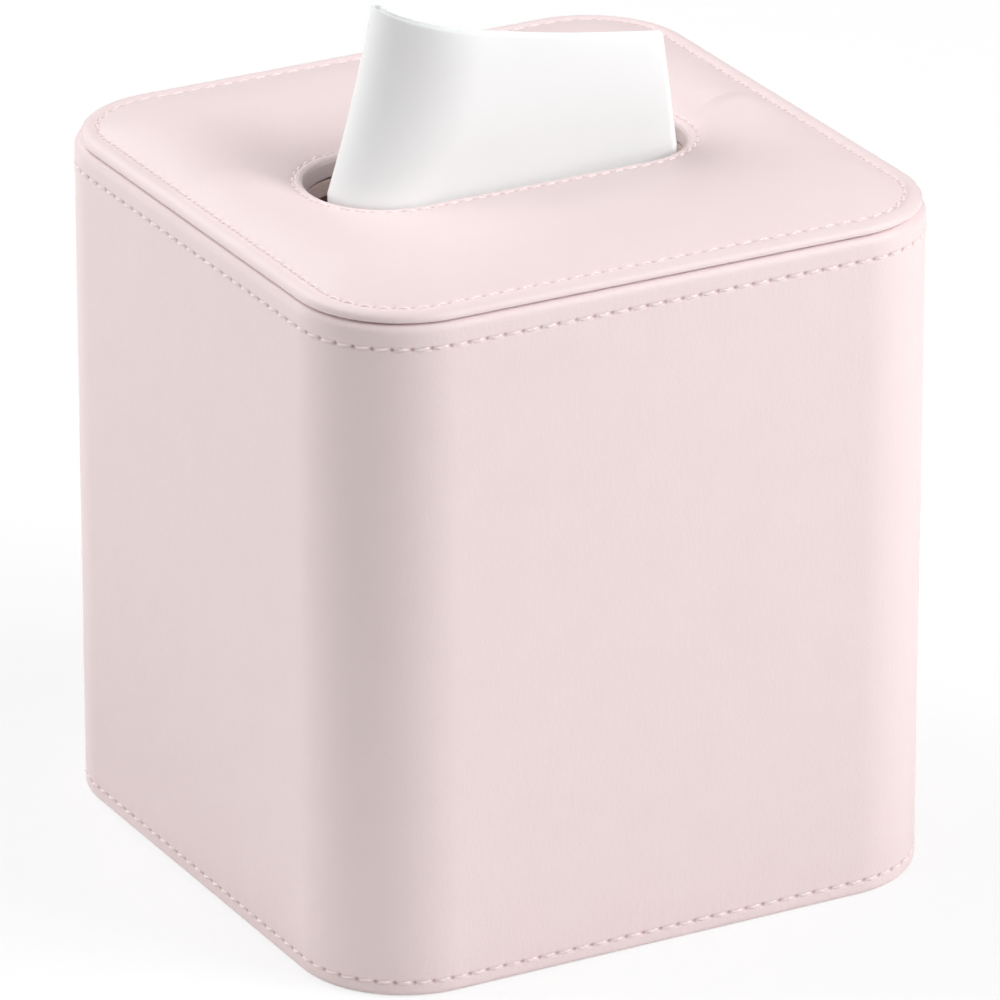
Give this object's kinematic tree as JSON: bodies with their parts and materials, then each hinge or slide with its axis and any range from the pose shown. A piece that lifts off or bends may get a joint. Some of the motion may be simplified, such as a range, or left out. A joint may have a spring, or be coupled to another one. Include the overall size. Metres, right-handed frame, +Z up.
{
  "type": "tissue box cover",
  "caption": "Square stitched leather tissue box cover with a padded top, an oval opening, a magnetic bottom flap and a tissue pulled up through the opening.",
  "frame": {"origin": "middle of the base, on the surface that the cover stands on", "axes": "+Z up, -Y the front face, the oval opening's long axis along X, the back seam and the flap's hinge at +Y"},
  "size_m": [0.1304, 0.1304, 0.1721],
  "materials": {
    "leather": "pale pink coated leather, fine grain, satin",
    "thread": "pale pink twisted polyester sewing thread",
    "board": "grey bookbinding board",
    "lining": "dusty pink flannelette, short nap",
    "foam": "soft open-cell foam sheet",
    "magnet": "nickel-plated bar magnet",
    "ribbon": "pink grosgrain ribbon",
    "tissue": "white soft tissue paper, matt"
  },
  "bodies": {
    "cover": {"wall_board": "board", "wall_leather": "leather", "wall_lining": "lining", "wall_top_stitches": "thread", "wall_base_stitches": "thread", "back_seam_stitches": "thread", "ceiling_board": "board", "ceiling_lining": "lining", "opening_trim": "leather", "panel_leather": "leather", "panel_foam": "foam", "panel_board": "board", "panel_stitches": "thread", "opening_stitches": "thread", "hinge_strip": "leather", "front_ledge": "board", "ledge_magnets": "magnet"},
    "flap": {"flap_board": "board", "flap_leather": "leather", "flap_lining": "lining", "flap_stitches": "thread", "flap_magnets": "magnet", "pull_tab": "ribbon"},
    "tissue": {"tissue_sheet": "tissue"}
  },
  "joints": [
    {"name": "flap_hinge", "type": "hinge", "parent": "cover", "child": "flap", "pos_m": [0, 0.06025, 0.0006], "axis": [1, 0, 0], "range_deg": [0, 90]},
    {"name": "tissue_pull", "type": "slide", "parent": "cover", "child": "tissue", "axis": [0, 0, 1], "range_m": [0, 0.06]}
  ]
}
